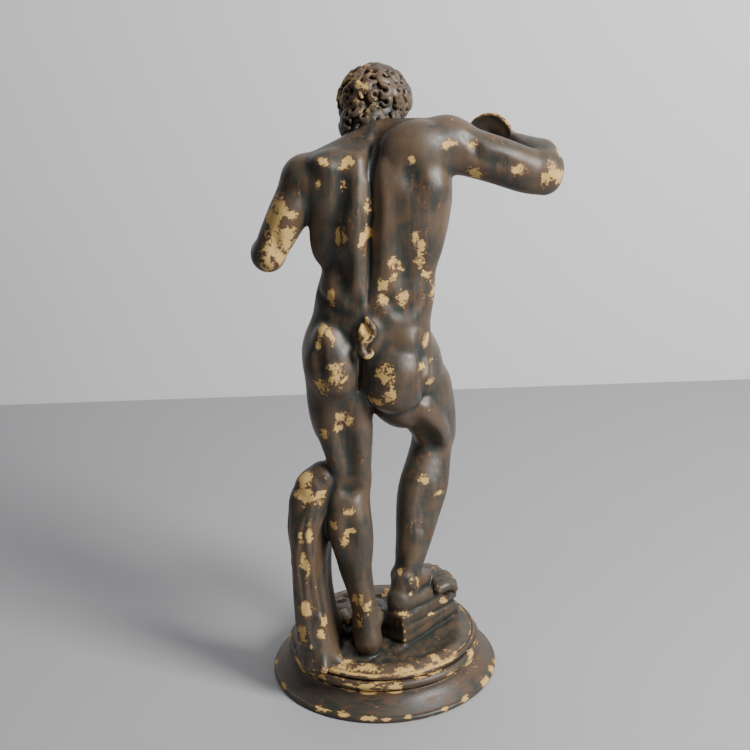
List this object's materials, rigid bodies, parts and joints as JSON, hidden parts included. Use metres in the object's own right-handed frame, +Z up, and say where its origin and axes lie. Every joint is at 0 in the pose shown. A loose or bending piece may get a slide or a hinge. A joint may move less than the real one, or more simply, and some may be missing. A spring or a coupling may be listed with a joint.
{
  "type": "garden statue",
  "caption": "Standing nude dancing faun with cymbals and a foot-clapper beside a tree stump, on a round moulded plinth and a flared socle.",
  "frame": {"origin": "centre of the round socle's flat underside", "axes": "+Z up; the figure faces -Y, and its left is at +X"},
  "size_m": [0.3302, 0.2555, 0.6717],
  "materials": {
    "bronze_paint": "aged bronze paint on cast iron, semi-gloss, flaked to a straw buff ground",
    "dark_bronze_paint": "aged dark bronze paint on cast iron, semi-gloss, flaked at the lower edge"
  },
  "bodies": {
    "root": {"faun_figure": "bronze_paint", "round_socle": "dark_bronze_paint"}
  },
  "joints": []
}
